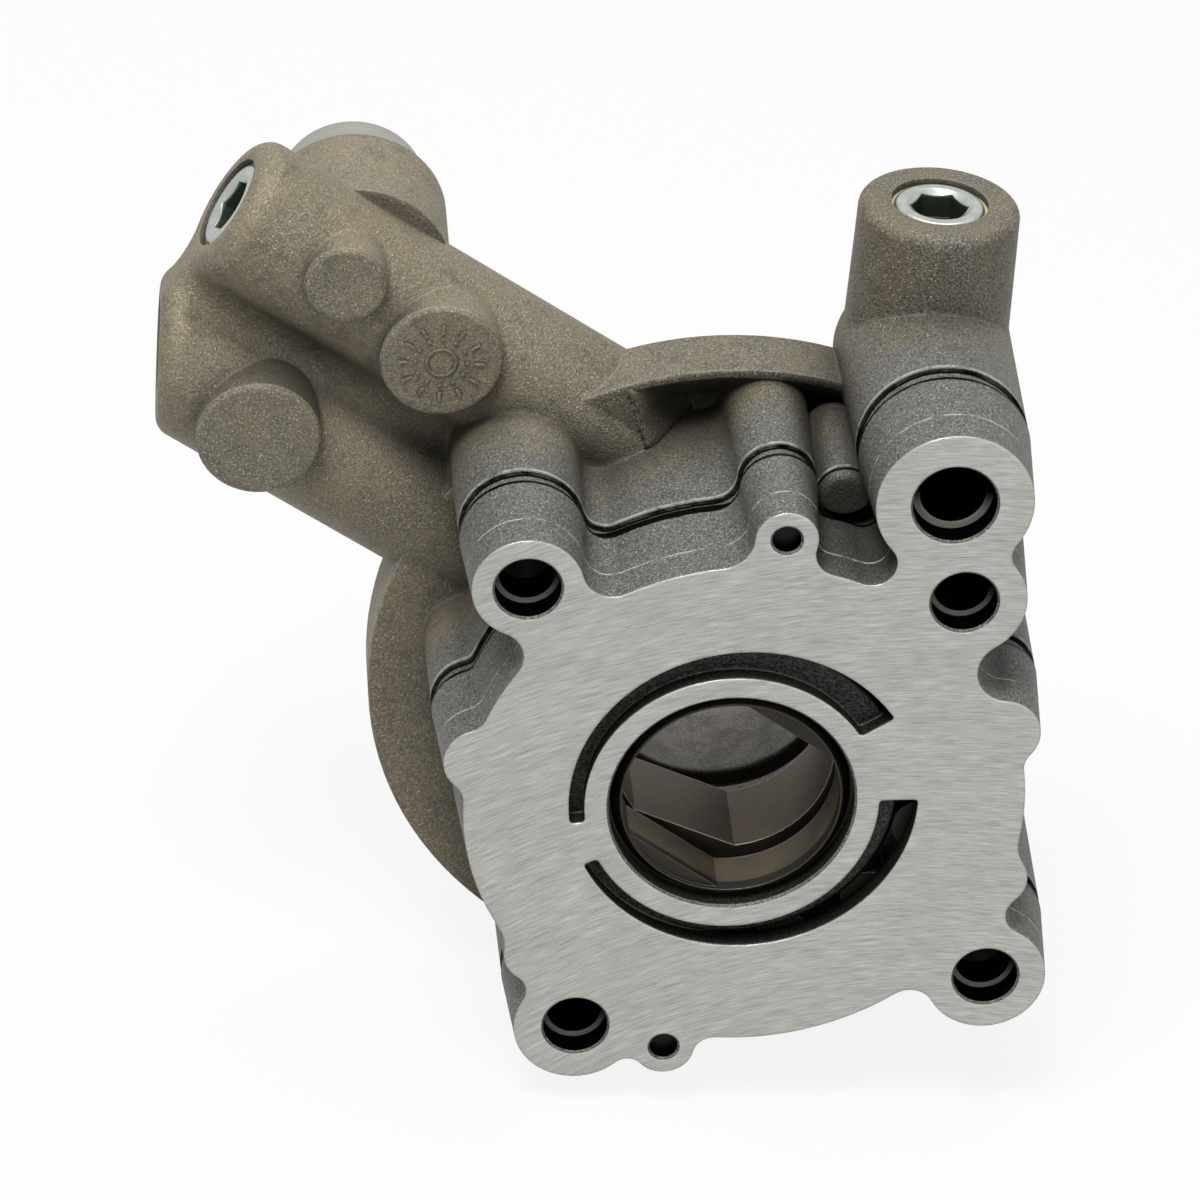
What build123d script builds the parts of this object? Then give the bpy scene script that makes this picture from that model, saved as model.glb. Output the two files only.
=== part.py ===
from build123d import *
import os
from math import acos, atan2, cos, degrees, hypot, pi, radians, sin, sqrt, tan

os.makedirs("parts", exist_ok=True)

# Engine oil pump: two rotor sets in line on the crankshaft axis, in a cast housing
# that is split into a cover and a body. Lengths are millimetres, angles are degrees.
# Each piece is drawn with the machined mounting face on the XY plane, looking up, and
# the rest of the pump below it. write() then turns it upright: the face looks to -Y,
# depth runs along +Y and +Z is up. The origin is the shaft axis on the mounting face.

# Shaft and rotors
drive_radius = 12.7
drive_flat = 10.9
shaft_bore_radius = 14.3
eccentricity = 1.4
eccentric_angle = 18
inner_teeth = 11
feed_drive_angle = 57
scavenge_drive_angle = 69
tooth_circle = 21.7
tooth_radius = 3.2
tooth_clearance = 0.08
root_clearance = 0.2
rotor_radius = 24.6
running_clearance = 0.08
end_clearance = 0.05
hub_clearance = 0.35
feed_width = 4.75
scavenge_width = 11.6
hub_rise = 1.75
hub_nose = 1.5
hub_rim = 0.2
flat_sink = 0.5

# Separator plates and the wave spring between the rotor sets
plate_thickness = 0.9
plate_clearance = 0.15
spring_thickness = 0.3
spring_gap = 0.7
spring_inner_radius = 18.2
spring_width = 4.4
spring_waves = 4

# Housing
cover_web = 2.8
cover_depth = 11.8
casting_radius = 32.6
bolt_boss_radius = 7.2
small_boss_radius = 3.6
port_boss_radius = 9.0
blend_radius = 2.8
cover_draft = 4.5
body_draft = 1.2
seam_band = 2.0
seam_step = 0.4
edge_break = 0.3

# Kidney ports
kidney_inner_radius = 17.1
kidney_outer_radius = 20.3
kidney_depth = 3.5
kidney_corner = 0.5
upper_ledge_radius = 20.0
lower_ledge_radius = 19.1
ledge_depth = 2.2
ledge_draft = 0.7

# Holes in the mounting face
bolt_hole_radius = 3.2
bolt_sink_radius = 3.8
bolt_sink_depth = 3.3
port_radius = 3.75
port_sink_radius = 4.8
port_sink_depth = 2.7
port_end = 39.0

# Round flange, rear hub and tower
flange_radius = 42.4
flange_front = 27.8
flange_width = 9.2
flange_edge = 1.2
flange_lip = 1.0
dish_depth = 6.2
dish_width = 5.4
hub_radius = 21.0
hub_back = 45.4
relief_radius = 15.6
relief_front = 25.2
relief_width = 3.4
tower_radius = 9.4
tower_draft = 1.0
tower_top = 60.9
tower_depth = 35.3
tower_edge = 1.3
post_radius = 3.3
post_edge = 0.9

# Arm: two parallel tubes with a web between them
arm_rise = 31.2
arm_depth = 35.5
arm_radius = 8.9
arm_blend = 3.0
arm_upper = 17.7
arm_lower = -2.0
arm_start = 6.0
arm_end = 81.4
arm_end_edge = 2.4
arm_corner = 4.0
mouth_x = -67.6
mouth_radius = 5.6
mouth_length = 7.0
inlet_radius = 4.6
inlet_end = 26.0
outlet_radius = 2.8
outlet_end = 31.0

# Casting pads on the front of the arm
pad_edge = 0.7

# Spigot behind the arm
spigot_place = 63.2
spigot_boss_radius = 10.9
spigot_boss_front = 36.9
spigot_boss_back = 50.8
spigot_radius = 8.75
spigot_length = 8.2
spigot_bore_radius = 5.5
spigot_edge = 0.8

# Threaded plugs
plug_radius = 5.35
plug_head = 4.0
plug_thread_radius = 4.4
plug_length = 9.0
plug_edge = 0.7
plug_sink_clearance = 0.35
plug_sunk = 0.3
key_flats = 6.0
key_depth = 3.4
key_sink = 0.75
seal_gap = 0.6
seal_thickness = 0.5

# Fasteners and seals inside the joint between cover and body
screw_radius = 2.0
screw_core_radius = 1.65
screw_head_radius = 3.4
screw_head_height = 3.8
screw_key = 3.0
screw_key_depth = 2.0
screw_clearance = 0.25
screw_seat = 31.8
screw_tip = 1.6
dowel_radius = 4.4
dowel_length = 8.0
dowel_clearance = 0.02
port_seal_radius = 6.4
port_seal_section = 0.9

# One reach for all cutting tools that leave the metal
overrun = 1.0

outer_teeth = inner_teeth + 1

# Places on the mounting face as shares of the casting radius
bolt_shares = {
    "upper_left": (-0.7844, 0.8647),
    "lower_left": (-0.4871, -0.9794),
    "lower_right": (0.9844, -0.7172),
    "upper_right": (0.7429, 0.8660),
}
screw_shares = ((0.0991, 1.0939), (-0.1592, -1.0638))
core_share = (0.0469, -0.0156)
port_share = (0.66994, 1.25767)
post_share = (0.343, 1.047)
flange_share = (0.0368, -0.0153)
flange_side_share = 0.9

# Lobes without a hole: place and radius as shares of the casting radius
lobe_shares = {
    "left": (-0.900, 0.1448, 0.135),
    "lower_left": (-0.6445, -0.6693, 0.1227),
    "lower_right": (0.9675, -0.2942, 0.1227),
    "right": (0.9328, 0.3245, 0.138),
}

# Boss radii as shares of the bolt boss radius
boss_radius_shares = {
    "upper_left": 0.889,
    "lower_left": 1.014,
    "lower_right": 0.986,
    "upper_right": 1.0,
}

# Order of the outline, counter-clockwise, with the blend to the next circle as a
# share of the blend radius
outline_shares = (
    ("bolt", "upper_right", 0.9),
    ("port", "", 1.0),
    ("core", "", 1.07),
    ("screw", 0, 1.43),
    ("core", "", 1.25),
    ("bolt", "upper_left", 1.25),
    ("core", "", 0.9),
    ("lobe", "left", 1.07),
    ("core", "", 1.79),
    ("lobe", "lower_left", 0.9),
    ("bolt", "lower_left", 0.71),
    ("screw", 1, 0.9),
    ("core", "", 1.07),
    ("bolt", "lower_right", 1.0),
    ("lobe", "lower_right", 1.79),
    ("core", "", 0.9),
    ("lobe", "right", 1.43),
)

# Shortest blend between two circles as a share of the gap between them, so that it
# always touches both
touch_share = 0.55

# Round back of the port boss as a share of its radius
dome_share = 0.9

# Ends of the dish in the flange in degrees
dish_ends = (45, 110)

# Ends of the two kidney ports in degrees
upper_kidney = (34.5, 190.5)
lower_kidney = (208.5, 363.5)

# Casting pads: place along the arm as a share of its length, place across it as a
# share of the tube radius, then radius and height as shares of the tube radius
pad_shares = (
    (0.825, 2.32, 0.54, 1.15),
    (0.645, 2.09, 0.80, 1.18),
    (0.793, -0.13, 0.815, 1.26),
)

# Depths of the stack inside the rotor pocket
feed_front = cover_web + end_clearance
feed_back = feed_front + feed_width
front_plate_back = feed_back + end_clearance + plate_thickness
rear_plate_front = front_plate_back + spring_gap
scavenge_front = rear_plate_front + plate_thickness + end_clearance
scavenge_back = scavenge_front + scavenge_width
pocket_back = scavenge_back + end_clearance
pocket_radius = rotor_radius + running_clearance
flange_back = flange_front + flange_width
seam_growth = cover_depth * tan(radians(cover_draft))
back_growth = (flange_back - cover_depth) * tan(radians(body_draft))

rotor_hub_radius = shaft_bore_radius - hub_clearance

centre_x = eccentricity * cos(radians(eccentric_angle))
centre_y = eccentricity * sin(radians(eccentric_angle))
port_x = port_share[0] * casting_radius
port_y = port_share[1] * casting_radius


def bar(radius, front, back, x=0, y=0):
    """Round bar between two depths."""
    stock = Cylinder(radius, back - front, align=(Align.CENTER, Align.CENTER, Align.MIN))
    return Pos(x, y, -back) * stock


def tapered_bar(front_radius, back_radius, front, back, x=0, y=0):
    """Round bar whose radius changes between two depths."""
    stock = Cone(back_radius, front_radius, back - front,
                 align=(Align.CENTER, Align.CENTER, Align.MIN))
    return Pos(x, y, -back) * stock


def edge_cut(radius, x=0, y=0, depth=0):
    """Cutter that breaks the front edge of a round hole."""
    return tapered_bar(radius + edge_break, radius, depth, depth + edge_break, x, y)


def sunk_hole(hole, sink, sink_depth, back, x, y):
    """Cutter for a through hole with a flat sink in the mounting face."""
    cutter = bar(hole, -overrun, back, x, y) + bar(sink, -overrun, sink_depth, x, y)
    return cutter + edge_cut(sink, x, y)


def mid_point(centre, radius, start, end):
    """Point halfway round the counter-clockwise arc from start to end."""
    first = atan2(start[1] - centre[1], start[0] - centre[0])
    last = atan2(end[1] - centre[1], end[0] - centre[0])
    half = first + ((last - first) % (2 * pi)) / 2
    return centre[0] + radius * cos(half), centre[1] + radius * sin(half)


def blended_outline(circles):
    """Closed outline round circles (x, y, radius, blend), given counter-clockwise.

    Each circle is joined to the next by a hollow arc that touches both.
    """
    joints = []
    for first, second in zip(circles, circles[1:] + circles[:1]):
        x, y, radius, blend = first
        reach = hypot(second[0] - x, second[1] - y)
        ahead = ((second[0] - x) / reach, (second[1] - y) / reach)
        blend = max(blend, touch_share * (reach - radius - second[2]))
        near = radius + blend
        far = second[2] + blend
        along = (near ** 2 - far ** 2 + reach ** 2) / (2 * reach)
        aside = sqrt(near ** 2 - along ** 2)
        centre = (x + along * ahead[0] + aside * ahead[1],
                  y + along * ahead[1] - aside * ahead[0])
        leave = (x + (centre[0] - x) * radius / near, y + (centre[1] - y) * radius / near)
        arrive = (second[0] + (centre[0] - second[0]) * second[2] / far,
                  second[1] + (centre[1] - second[1]) * second[2] / far)
        joints.append((leave, centre, blend, arrive))
    edges = []
    for place, (leave, centre, blend, arrive) in enumerate(joints):
        edges.append(ThreePointArc(leave, mid_point(centre, blend, arrive, leave), arrive))
        circle = circles[(place + 1) % len(circles)]
        onward = joints[(place + 1) % len(joints)][0]
        edges.append(ThreePointArc(arrive, mid_point(circle[:2], circle[2], arrive, onward), onward))
    return make_face(edges)


def face_place(share):
    """Place on the mounting face from its share of the casting radius."""
    return share[0] * casting_radius, share[1] * casting_radius


def casting_outline(growth):
    """Outline of the cover and body casting, grown evenly for the draft."""
    circles = []
    for kind, key, blend_share in outline_shares:
        if kind == "bolt":
            x, y = face_place(bolt_shares[key])
            radius = bolt_boss_radius * boss_radius_shares[key]
        elif kind == "screw":
            x, y = face_place(screw_shares[key])
            radius = small_boss_radius
        elif kind == "lobe":
            x, y = face_place(lobe_shares[key])
            radius = lobe_shares[key][2] * casting_radius
        elif kind == "port":
            x, y = port_x, port_y
            radius = port_boss_radius
        else:
            x, y = face_place(core_share)
            radius = casting_radius
        circles.append((x, y, radius + growth, blend_radius * blend_share - growth))
    return blended_outline(circles)


def drafted_casting(front, back, front_growth, back_growth):
    """Casting between two depths with drafted walls."""
    return loft([Pos(0, 0, -back) * casting_outline(back_growth),
                 Pos(0, 0, -front) * casting_outline(front_growth)], ruled=True)


def kidney(ends, front, back):
    """Crescent port between two angles and two depths."""
    reach = 2 * kidney_outer_radius
    middle = (ends[0] + ends[1]) / 2
    corners = [(0, 0)]
    for angle in (ends[0], (ends[0] + middle) / 2, middle, (ends[1] + middle) / 2, ends[1]):
        corners.append((reach * cos(radians(angle)), reach * sin(radians(angle))))
    crescent = Pos(centre_x, centre_y) * Circle(kidney_outer_radius) - Circle(kidney_inner_radius)
    crescent = crescent & make_face(Polyline(*corners, close=True))
    crescent = fillet(crescent.vertices(), kidney_corner)
    return Pos(0, 0, -back) * extrude(crescent, back - front)


def stepped_kidney(ends, ledge_radius):
    """Kidney port of the cover: full width down to a ledge, then narrower, with draft."""
    ledge = tapered_bar(ledge_radius, ledge_radius + ledge_draft, ledge_depth, cover_web)
    ledge += bar(ledge_radius + ledge_draft, cover_web, cover_web + 2 * overrun)
    slot = kidney(ends, ledge_depth, cover_web + overrun) - ledge
    return kidney(ends, -overrun, ledge_depth) + slot


def pocket(front, back):
    """Round rotor pocket, set off from the shaft axis."""
    return bar(pocket_radius, front, back, centre_x, centre_y)


def screw_places():
    return [face_place(share) for share in screw_shares]


def dowel_places():
    return [face_place(bolt_shares[key]) for key in ("upper_left", "lower_right")]


def post():
    """Small round post of the body in the notch beside the port boss."""
    x, y = face_place(post_share)
    stock = bar(post_radius, cover_depth + seam_step, flange_front + overrun, x, y)
    rim = stock.edges().filter_by(GeomType.CIRCLE).sort_by(Axis.Z)[-1]
    return fillet(rim, post_edge)


def pump_cover():
    """Front casting with the mounting face, the ports and the feed rotor pocket."""
    cover = drafted_casting(0, cover_depth, 0, seam_growth)
    cover -= pocket(cover_web, cover_depth + overrun)
    cover -= bar(shaft_bore_radius, -overrun, cover_web + overrun) + edge_cut(shaft_bore_radius)
    cover -= stepped_kidney(upper_kidney, upper_ledge_radius)
    cover -= stepped_kidney(lower_kidney, lower_ledge_radius)
    for share in bolt_shares.values():
        x, y = face_place(share)
        cover -= sunk_hole(bolt_hole_radius, bolt_sink_radius, bolt_sink_depth,
                           cover_depth + overrun, x, y)
    cover -= sunk_hole(port_radius, port_sink_radius, port_sink_depth,
                       cover_depth + overrun, port_x, port_y)
    for x, y in screw_places():
        cover -= bar(screw_core_radius, -overrun, cover_depth + overrun, x, y)
        cover -= edge_cut(screw_core_radius, x, y)
    for x, y in dowel_places():
        cover -= dowel_hole(x, y)
    return cover


def dowel_hole(x, y):
    """Cutter for a hollow dowel that lies half in the cover and half in the body."""
    radius = dowel_radius + dowel_clearance
    half = dowel_length / 2 + end_clearance
    return bar(radius, cover_depth - half, cover_depth + half, x, y)


arm_plane = Plane(origin=(0, 0, -arm_depth),
                  x_dir=(sin(radians(arm_rise)), cos(radians(arm_rise)), 0),
                  z_dir=(-cos(radians(arm_rise)), sin(radians(arm_rise)), 0))


def arm_point(along, across):
    """Place on the mounting face plane of a point given along and across the arm."""
    place = arm_plane.from_local_coords(Vector(across, 0, along))
    return place.X, place.Y


def arm_bar(radius, across, start, end):
    """Round bar along the arm."""
    stock = Cylinder(radius, end - start, align=(Align.CENTER, Align.CENTER, Align.MIN))
    return arm_plane * Pos(across, 0, start) * stock


def arm():
    """Two tubes and their web, cut square at the plug and upright at the inlet mouth."""
    section = blended_outline([(arm_upper, 0, arm_radius, arm_blend),
                               (arm_lower, 0, arm_radius, arm_blend)])
    beam = arm_plane * Pos(0, 0, arm_start) * extrude(section, arm_end - arm_start)
    reach = 2 * arm_radius
    block = Box(reach, arm_end, reach + 2 * overrun)
    beam -= Pos(mouth_x - reach / 2, arm_end / 2, -arm_depth) * block
    beam = fillet(beam.edges().filter_by(Axis.Z).sort_by(Axis.X)[0], arm_corner)
    along = Axis((0, 0, 0), arm_plane.z_dir)
    ends = (beam.faces().sort_by(along)[-1],
            beam.faces().filter_by(GeomType.PLANE).sort_by(Axis.X)[0])
    return fillet(ends[0].edges() + ends[1].edges(), arm_end_edge)


def arm_bolt_boss():
    """Boss round the bolt hole that passes between the two tubes, flat at the back."""
    x, y = face_place(bolt_shares["upper_left"])
    radius = bolt_boss_radius * boss_radius_shares["upper_left"]
    return bar(radius, flange_front, hub_back, x, y)


def arm_pads():
    """Round casting pads that stand off the front of the arm."""
    pads = []
    for along, across, radius, height in pad_shares:
        x, y = arm_point(along * arm_end, across * arm_radius)
        front = arm_depth - height * arm_radius
        pad = bar(radius * arm_radius, front, arm_depth, x, y)
        rim = pad.edges().filter_by(GeomType.CIRCLE).sort_by(Axis.Z)[-1]
        pads.append(chamfer(rim, pad_edge / 2))
    return pads


def arm_drillings():
    """Inlet and outlet passages of the arm, with the seats for plug and mouth."""
    along = (-mouth_x - sin(radians(arm_rise)) * -arm_lower) / cos(radians(arm_rise))
    x, y = arm_point(along, arm_lower)
    stock = Cylinder(mouth_radius, mouth_length + overrun,
                     align=(Align.CENTER, Align.CENTER, Align.MIN))
    mouth = Pos(mouth_x - overrun, y, -arm_depth) * Rot(0, 90, 0) * stock
    inlet = arm_bar(inlet_radius, arm_lower, inlet_end, along - mouth_length / 2)
    outlet = arm_bar(outlet_radius, arm_upper, outlet_end, arm_end)
    return mouth + inlet + outlet


def spigot():
    """Cast boss behind the arm with its machined spigot."""
    x, y = arm_point(spigot_place, arm_upper)
    back = spigot_boss_back + spigot_length
    boss = bar(spigot_boss_radius, spigot_boss_front, spigot_boss_back, x, y)
    neck = bar(spigot_radius, arm_depth, back, x, y)
    rim = neck.edges().filter_by(GeomType.CIRCLE).sort_by(Axis.Z)[0]
    return boss + chamfer(rim, spigot_edge)


def spigot_bore():
    x, y = arm_point(spigot_place, arm_upper)
    return bar(spigot_bore_radius, arm_depth, spigot_boss_back + spigot_length + overrun, x, y)


def tower():
    """Round tower above the port boss, and the round back of that boss."""
    height = tower_top - port_y
    base_radius = tower_radius + height * tan(radians(tower_draft))
    stock = Cone(base_radius, tower_radius, height,
                 align=(Align.CENTER, Align.CENTER, Align.MIN))
    rim = stock.edges().filter_by(GeomType.CIRCLE).sort_by(Axis.Z)[-1]
    stock = fillet(rim, tower_edge)
    upright = Pos(port_x, port_y, -tower_depth) * Rot(-90, 0, 0) * stock
    back = bar(base_radius, flange_front, tower_depth + tower_radius, port_x, port_y)
    end = back.edges().filter_by(GeomType.CIRCLE).sort_by(Axis.Z)[0]
    return upright + fillet(end, dome_share * tower_radius)


def plug_cutter():
    """Cutter for a plug seat, drawn along Z with the open end at zero."""
    sink = plug_radius + plug_sink_clearance
    seat = plug_head + plug_sunk
    down = (Align.CENTER, Align.CENTER, Align.MAX)
    cutter = Pos(0, 0, overrun) * Cylinder(sink, seat + overrun, align=down)
    cutter += Cylinder(plug_thread_radius, plug_sunk + plug_length + end_clearance, align=down)
    return cutter


def tower_frame():
    return Pos(port_x, tower_top, -tower_depth) * Rot(-90, 0, 0)


def arm_plug_frame():
    return arm_plane * Pos(arm_upper, 0, arm_end)


def flange():
    """Round flange behind the casting, cut off where the casting's side covers it."""
    x, y = face_place(flange_share)
    disc = bar(flange_radius, flange_front, flange_back, x, y)
    disc = fillet(disc.edges().filter_by(GeomType.CIRCLE).sort_by(Axis.Z)[0], flange_edge)
    side = flange_side_share * casting_radius
    reach = 2 * flange_radius
    return disc - Pos(side + reach / 2, y, -flange_back) * Box(reach, reach, 2 * flange_width)


def flange_dish():
    """Cutter for the sloping dish in the flange between the arm and the tower."""
    x, y = face_place(flange_share)
    rim = flange_radius - flange_lip
    front = arm_depth - arm_radius - overrun
    back = flange_front + dish_depth
    sloped = tapered_bar(rim, rim - dish_width, flange_front, back, x, y)
    sloped += bar(rim, front, flange_front, x, y)
    corners = [(x, y)]
    for angle in (dish_ends[0], sum(dish_ends) / 2, dish_ends[1]):
        corners.append((x + 2 * rim * cos(radians(angle)), y + 2 * rim * sin(radians(angle))))
    sector = extrude(make_face(Polyline(*corners, close=True)), back - front)
    return sloped & Pos(0, 0, -back) * sector


def pump_body():
    """Rear casting with the scavenge rotor pocket, flange, hub, tower and arm."""
    band_back = cover_depth + seam_band
    outer = seam_growth + back_growth
    body = flange() + arm() - flange_dish()
    body += drafted_casting(band_back, flange_back, seam_growth, outer)
    body += drafted_casting(cover_depth, band_back, seam_growth - seam_step, seam_growth - seam_step)
    body += post()
    body += tapered_bar(hub_radius + back_growth, hub_radius, flange_front, hub_back)
    body += arm_bolt_boss()
    for pad in arm_pads():
        body += pad
    body += spigot()
    body += tower()
    body -= pocket(cover_depth - overrun, pocket_back)
    for ends in (upper_kidney, lower_kidney):
        body -= kidney(ends, pocket_back - overrun, pocket_back + kidney_depth)
    body -= bar(shaft_bore_radius, pocket_back - overrun, hub_back + overrun)
    body -= bar(relief_radius, relief_front, relief_front + relief_width)
    for share in bolt_shares.values():
        x, y = face_place(share)
        body -= bar(bolt_hole_radius, cover_depth - overrun, hub_back + overrun, x, y)
    for x, y in dowel_places():
        body -= dowel_hole(x, y)
    for x, y in screw_places():
        body -= bar(screw_radius + screw_clearance, cover_depth - overrun, flange_back, x, y)
        body -= bar(screw_head_radius + screw_clearance, screw_seat, hub_back + overrun, x, y)
    body -= bar(port_radius, cover_depth - overrun, port_end, port_x, port_y)
    groove = port_seal_radius + port_seal_section + plate_clearance
    body -= bar(groove, cover_depth - overrun, cover_depth + 2 * port_seal_section, port_x, port_y)
    body -= arm_drillings()
    body -= spigot_bore()
    body -= tower_frame() * plug_cutter()
    drop = tower_top - port_y
    body -= tower_frame() * Cylinder(outlet_radius, drop, align=(Align.CENTER, Align.CENTER, Align.MAX))
    body -= arm_plug_frame() * plug_cutter()
    return body


def drive_bore(front, back, angle):
    """Cutter for the shaft bore of an inner rotor: round with two drive flats."""
    width = 2 * drive_radius
    outline = Circle(drive_radius) & Rectangle(2 * drive_flat, width + overrun)
    return Pos(0, 0, -back) * extrude(Rot(0, 0, angle) * outline, back - front)


def inner_profile():
    """Tooth outline of an inner rotor, as the envelope of the outer rotor's teeth."""
    points = []
    steps = 16
    bunching = 3
    reach = tooth_radius + tooth_clearance
    for step in range(steps * inner_teeth):
        turn = 2 * pi * (step + 0.5) / steps
        whole = round(turn / (2 * pi)) * 2 * pi
        phase = whole + 2 * atan2(bunching * sin((turn - whole) / 2), cos((turn - whole) / 2))
        angle = phase / inner_teeth
        x = tooth_circle * cos(angle) + eccentricity * cos(outer_teeth * angle)
        y = tooth_circle * sin(angle) + eccentricity * sin(outer_teeth * angle)
        dx = -tooth_circle * sin(angle) - eccentricity * outer_teeth * sin(outer_teeth * angle)
        dy = tooth_circle * cos(angle) + eccentricity * outer_teeth * cos(outer_teeth * angle)
        speed = hypot(dx, dy)
        points.append((x - reach * dy / speed, y + reach * dx / speed))
    return make_face(Spline(*points, periodic=True))


def inner_rotor(front, back, drive_angle, hub_front):
    """Inner rotor, with a short hub that stands into the shaft bore of the cover."""
    profile = Rot(0, 0, eccentric_angle) * inner_profile()
    rotor = Pos(0, 0, -back) * extrude(profile, back - front)
    if hub_front < front:
        nose_back = hub_front + hub_nose
        rotor += tapered_bar(drive_radius + hub_rim, rotor_hub_radius, hub_front, nose_back)
        rotor += bar(rotor_hub_radius, nose_back, front + end_clearance)
        rotor -= bar(drive_radius, hub_front - overrun, hub_front + flat_sink)
    return rotor - drive_bore(hub_front - overrun, back + overrun, drive_angle)


def outer_rotor(front, back):
    """Outer rotor: a ring with one tooth more than the inner rotor."""
    root = tooth_circle - tooth_radius + 2 * eccentricity + root_clearance
    ring = Circle(rotor_radius) - Circle(root)
    for tooth in range(outer_teeth):
        ring += PolarLocations(tooth_circle, 1, tooth * 360 / outer_teeth) * Circle(tooth_radius)
    ring = ring & Circle(rotor_radius)
    ring = Rot(0, 0, eccentric_angle) * ring
    return Pos(centre_x, centre_y, -back) * extrude(ring, back - front)


def separator_plate(front):
    """Flat plate that closes one rotor set, with its hole on the shaft axis."""
    plate = bar(pocket_radius - plate_clearance, front, front + plate_thickness, centre_x, centre_y)
    return plate - bar(shaft_bore_radius, front - overrun, front + plate_thickness + overrun)


def spring_section(angle):
    """Cross-section of the wave spring at an angle round the pocket, in degrees."""
    middle = (front_plate_back + rear_plate_front) / 2
    swing = (spring_gap - spring_thickness) / 2 - end_clearance
    radius = spring_inner_radius + spring_width / 2
    out = (cos(radians(angle)), sin(radians(angle)))
    place = (centre_x + radius * out[0], centre_y + radius * out[1],
             swing * sin(radians(spring_waves * angle)) - middle)
    plane = Plane(origin=place, x_dir=(out[0], out[1], 0), z_dir=(-out[1], out[0], 0))
    return plane * Rectangle(spring_width, spring_thickness)


def wave_spring():
    """Wavy ring that presses the two separator plates apart."""
    steps = 6 * spring_waves
    halves = []
    for start in (0, 180):
        halves.append(loft([spring_section(start + 180 * step / steps) for step in range(steps + 1)]))
    return halves[0] + halves[1]


def key_cutter(flats, depth):
    """Hexagon socket with a countersunk mouth, open at zero and cut downward."""
    down = (Align.CENTER, Align.CENTER, Align.MAX)
    corner = flats / sqrt(3)
    socket = Pos(0, 0, -depth) * extrude(RegularPolygon(corner, 6), depth + overrun)
    mouth = Cone(corner - key_sink, corner + key_sink / 2, key_sink, align=down)
    return socket + mouth


def plug():
    """Socket plug with a rounded head, drawn along Z with its top at zero."""
    down = (Align.CENTER, Align.CENTER, Align.MAX)
    head = Cylinder(plug_radius, plug_head, align=down)
    head = fillet(head.edges().filter_by(GeomType.CIRCLE).sort_by(Axis.Z)[-1], plug_edge)
    shank = Cylinder(plug_thread_radius, plug_length, align=down)
    return head + shank - key_cutter(key_flats, key_depth)


def plug_seal():
    """Thin seal ring in the gap round a plug head, just below its top edge."""
    down = (Align.CENTER, Align.CENTER, Align.MAX)
    ring = Cylinder(plug_radius + plug_sink_clearance, seal_thickness, align=down)
    ring -= Cylinder(plug_radius, 2 * seal_thickness, align=(Align.CENTER,) * 3)
    return ring


def cover_screw(x, y):
    """Screw from the back of the body into the thread of the cover."""
    head = bar(screw_head_radius, screw_seat, screw_seat + screw_head_height, x, y)
    shank = bar(screw_radius, cover_depth + end_clearance, screw_seat, x, y)
    thread = bar(screw_core_radius, screw_tip, cover_depth + end_clearance, x, y)
    back = screw_seat + screw_head_height
    socket = Pos(x, y, -back) * extrude(RegularPolygon(screw_key / sqrt(3), 6), screw_key_depth)
    return head + shank + thread - socket


def hollow_dowel(x, y):
    half = dowel_length / 2
    ring = bar(dowel_radius, cover_depth - half, cover_depth + half, x, y)
    return ring - bar(bolt_hole_radius, cover_depth - dowel_length, cover_depth + dowel_length, x, y)


def port_seal_ring():
    """Seal ring round the pressure port in the joint face."""
    ring = Torus(port_seal_radius, port_seal_section)
    return Pos(port_x, port_y, -cover_depth - port_seal_section) * ring


def write(name, *shapes):
    """Turn the finished piece upright and save it."""
    solids = []
    for shape in shapes:
        solids.extend((Rot(90, 0, 0) * shape).solids())
    whole = solids[0] if len(solids) == 1 else Compound(children=solids)
    whole.label = name
    export_step(whole, "parts/" + name + ".step")


write("pump_cover", pump_cover())
write("pump_body", pump_body())
write("feed_inner_rotor",
      inner_rotor(feed_front, feed_back, feed_drive_angle, feed_front - hub_rise))
write("feed_outer_rotor", outer_rotor(feed_front, feed_back))
write("scavenge_inner_rotor",
      inner_rotor(scavenge_front, scavenge_back, scavenge_drive_angle, scavenge_front))
write("scavenge_outer_rotor", outer_rotor(scavenge_front, scavenge_back))
write("feed_separator_plate", separator_plate(feed_back + end_clearance))
write("scavenge_separator_plate", separator_plate(rear_plate_front))
write("wave_spring", wave_spring())
write("tower_plug", tower_frame() * Pos(0, 0, -plug_sunk) * plug())
write("tower_plug_seal", tower_frame() * Pos(0, 0, -plug_sunk - seal_gap) * plug_seal())
write("arm_plug", arm_plug_frame() * Pos(0, 0, -plug_sunk) * plug())
write("arm_plug_seal", arm_plug_frame() * Pos(0, 0, -plug_sunk - seal_gap) * plug_seal())
for name, place in zip(("upper_cover_screw", "lower_cover_screw"), screw_places()):
    write(name, cover_screw(*place))
for name, place in zip(("upper_hollow_dowel", "lower_hollow_dowel"), dowel_places()):
    write(name, hollow_dowel(*place))
write("port_seal_ring", port_seal_ring())
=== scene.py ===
"""Engine oil pump: finishes of its solids, a cast dial and a cast ramp on them, and a plain studio.

Places and sizes are in millimetres, as in the part's source, and MM turns them into metres:
x to the right, y back from the mounting face, z up. Studio, camera and lamps are in metres.
"""
from functools import reduce
from math import cos, hypot, pi, radians, sin

import bmesh
import bpy
from mathutils import Matrix, Vector
from mathutils.bvhtree import BVHTree


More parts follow.
